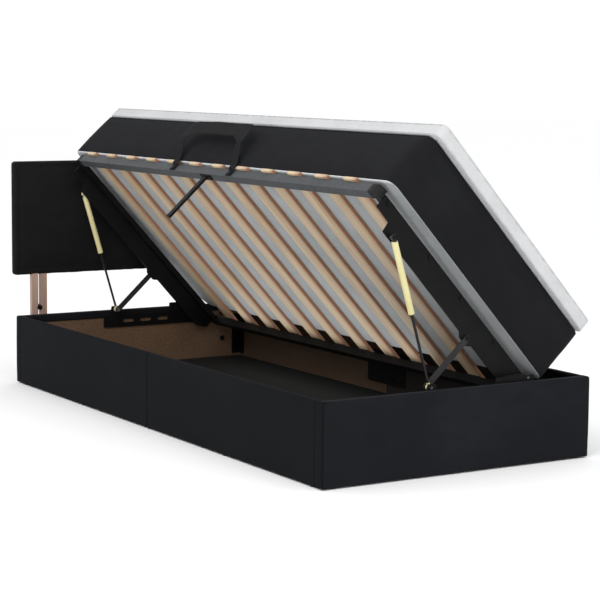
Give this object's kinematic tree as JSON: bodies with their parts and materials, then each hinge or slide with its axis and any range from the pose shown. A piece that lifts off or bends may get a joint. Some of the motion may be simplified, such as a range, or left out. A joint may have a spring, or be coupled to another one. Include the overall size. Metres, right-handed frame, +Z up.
{
  "type": "upholstered storage bed",
  "caption": "Fabric-covered single storage bed whose slatted frame, mattress and topper tilt up over the long side on gas struts; panel headboard on slotted wooden legs.",
  "frame": {"origin": "on the floor, under the middle of the bounding box of the whole bed with its lid open", "axes": "+Z up, +Y from the foot to the headboard, -X the long side that opens"},
  "size_m": [0.92, 2.073, 0.9731],
  "materials": {
    "upholstery_fabric": "matte",
    "particle_board": "matte",
    "floor_board": "matte",
    "leg_wood": "satin",
    "zinc_steel": "satin",
    "black_steel": "satin",
    "strut_enamel": "gloss",
    "rod_steel": "gloss",
    "grey_steel": "satin",
    "slat_wood": "satin",
    "black_plastic": "matte",
    "webbing": "matte",
    "topper_fabric": "matte"
  },
  "bodies": {
    "base": {"base_bracket_foot": "black_steel", "base_bracket_head": "black_steel", "base_screws": "zinc_steel", "corner_angles": "zinc_steel", "far_board_foot": "particle_board", "far_board_head": "particle_board", "far_cover_foot": "upholstery_fabric", "far_cover_head": "upholstery_fabric", "floor_battens": "particle_board", "floor_glides": "black_plastic", "floor_panel_foot": "floor_board", "floor_panel_head": "floor_board", "foot_end_board": "particle_board", "foot_end_cover": "upholstery_fabric", "head_end_board": "particle_board", "head_end_cover": "upholstery_fabric", "headboard_bolts": "zinc_steel", "headboard_core": "particle_board", "headboard_cover": "upholstery_fabric", "headboard_legs": "leg_wood", "headboard_spacers": "leg_wood", "joining_plates": "zinc_steel", "lower_pivot_pins": "zinc_steel", "near_board_foot": "particle_board", "near_board_head": "particle_board", "near_cover_foot": "upholstery_fabric", "near_cover_head": "upholstery_fabric"},
    "front_links": {"front_links": "black_steel"},
    "rear_links": {"rear_links": "black_steel", "rear_link_studs": "zinc_steel"},
    "strut_rods": {"strut_rod_foot": "rod_steel", "strut_rod_head": "rod_steel"},
    "strut_cylinders": {"strut_cylinder_foot": "strut_enamel", "strut_cylinder_head": "strut_enamel", "strut_studs": "strut_enamel"},
    "lid": {"lift_rail_foot": "black_steel", "lift_rail_head": "black_steel", "upper_pivot_pins": "zinc_steel", "near_rail": "grey_steel", "far_rail": "grey_steel", "foot_rail": "grey_steel", "head_rail": "grey_steel", "slat_holders": "black_plastic", "support_leg": "black_steel", "lifting_strap": "webbing", "lid_screws": "zinc_steel", "mattress": "upholstery_fabric", "topper": "topper_fabric", "slat_01": "slat_wood", "slat_02": "slat_wood", "slat_03": "slat_wood", "slat_04": "slat_wood", "slat_05": "slat_wood", "slat_06": "slat_wood", "slat_07": "slat_wood", "slat_08": "slat_wood", "slat_09": "slat_wood", "slat_10": "slat_wood", "slat_11": "slat_wood", "slat_12": "slat_wood"}
  },
  "joints": [
    {"name": "lid_lift", "type": "hinge", "parent": "base", "child": "front_links", "pos_m": [-0.085, 0, 0.245], "axis": [0, 1, 0], "range_deg": [0, 66.53], "stiffness_Nm_per_rad": 30, "springref_deg": -148.97},
    {"name": "lid_tilt", "type": "hinge", "parent": "front_links", "child": "lid", "pos_m": [0.05274, 0, 0.37139], "axis": [0, 1, 0], "range_deg": [-114.04, 0]},
    {"name": "rear_link_swing", "type": "hinge", "parent": "base", "child": "rear_links", "pos_m": [0.25434, 0, 0.248], "axis": [0, 1, 0], "range_deg": [-100.25, 0]},
    {"name": "strut_swing", "type": "hinge", "parent": "base", "child": "strut_rods", "pos_m": [-0.085, 0, 0.245], "axis": [0, 1, 0], "range_deg": [-90.6, 0]},
    {"name": "strut_slide", "type": "slide", "parent": "strut_rods", "child": "strut_cylinders", "axis": [0.2884, 0, -0.9575], "range_m": [0, 0.20399]}
  ],
  "couplings": [
    {"joint": "lid_tilt", "follows": "lid_lift", "ratio": -1.714},
    {"joint": "rear_link_swing", "follows": "lid_lift", "ratio": -1.5067},
    {"joint": "strut_swing", "follows": "lid_lift", "ratio": -1.3618},
    {"joint": "strut_slide", "follows": "lid_lift", "m_per_rad": 0.17564}
  ]
}
